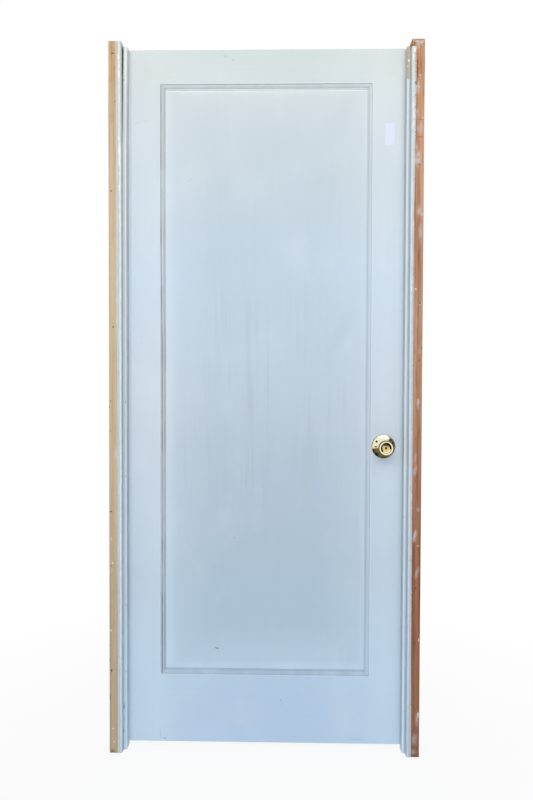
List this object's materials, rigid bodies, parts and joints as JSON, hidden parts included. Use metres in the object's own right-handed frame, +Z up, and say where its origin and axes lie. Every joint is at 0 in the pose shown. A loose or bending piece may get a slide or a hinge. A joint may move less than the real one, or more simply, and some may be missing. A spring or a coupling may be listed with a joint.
{
  "type": "interior door with its two jamb legs",
  "caption": "White painted interior door with one flat panel, hung on butt hinges between two salvaged jamb legs, with a round brass knob set and spring latch.",
  "frame": {"origin": "centre of the hinge leg's foot, on the floor", "axes": "+X from the hinge leg to the strike leg, +Y away from the side with the stops, the way the door opens, +Z up"},
  "size_m": [0.895, 0.163, 2.045],
  "materials": {
    "door_paint": "old semi-gloss white paint on wood",
    "stop_paint": "old semi-gloss white paint on wood, chipped",
    "hinge_leg_wood": "bare aged pine beside a painted strip",
    "strike_leg_wood": "bare reddish fir beside a painted strip, with plaster smears",
    "polished_brass": "polished, slightly tarnished",
    "aged_brass": "satin, tarnished",
    "plain_steel": "plain"
  },
  "bodies": {
    "frame": {"hinge_jamb_leg": "hinge_leg_wood", "strike_jamb_leg": "strike_leg_wood", "hinge_side_stop": "stop_paint", "strike_side_stop": "stop_paint", "strike_plate": "aged_brass", "jamb_leaf_top": "aged_brass", "jamb_leaf_middle": "aged_brass", "jamb_leaf_bottom": "aged_brass", "hinge_pin_top": "aged_brass", "hinge_pin_middle": "aged_brass", "hinge_pin_bottom": "aged_brass"},
    "door": {"hinge_stile": "door_paint", "latch_stile": "door_paint", "top_rail": "door_paint", "bottom_rail": "door_paint", "panel": "door_paint", "door_leaf_top": "aged_brass", "door_leaf_middle": "aged_brass", "door_leaf_bottom": "aged_brass", "latch_faceplate": "aged_brass", "latch_housing": "plain_steel", "front_rose": "polished_brass", "back_rose": "polished_brass"},
    "knob": {"front_knob": "polished_brass", "back_knob": "polished_brass", "spindle": "plain_steel", "latch_hub": "plain_steel", "privacy_button": "polished_brass"},
    "bolt": {"latch_bolt": "aged_brass"}
  },
  "joints": [
    {"name": "door_swing", "type": "hinge", "parent": "frame", "child": "door", "pos_m": [0.0205, 0.0535, 1.0265], "axis": [0, 0, 1], "range_deg": [0, 170]},
    {"name": "knob_turn", "type": "hinge", "parent": "door", "child": "knob", "pos_m": [0.776, 0.028, 0.891], "axis": [0, 1, 0], "range_deg": [0, 60]},
    {"name": "latch_slide", "type": "slide", "parent": "door", "child": "bolt", "axis": [1, 0, 0], "range_m": [0, 0.011]}
  ],
  "couplings": [
    {"joint": "latch_slide", "follows": "knob_turn", "m_per_rad": 0.010504}
  ]
}
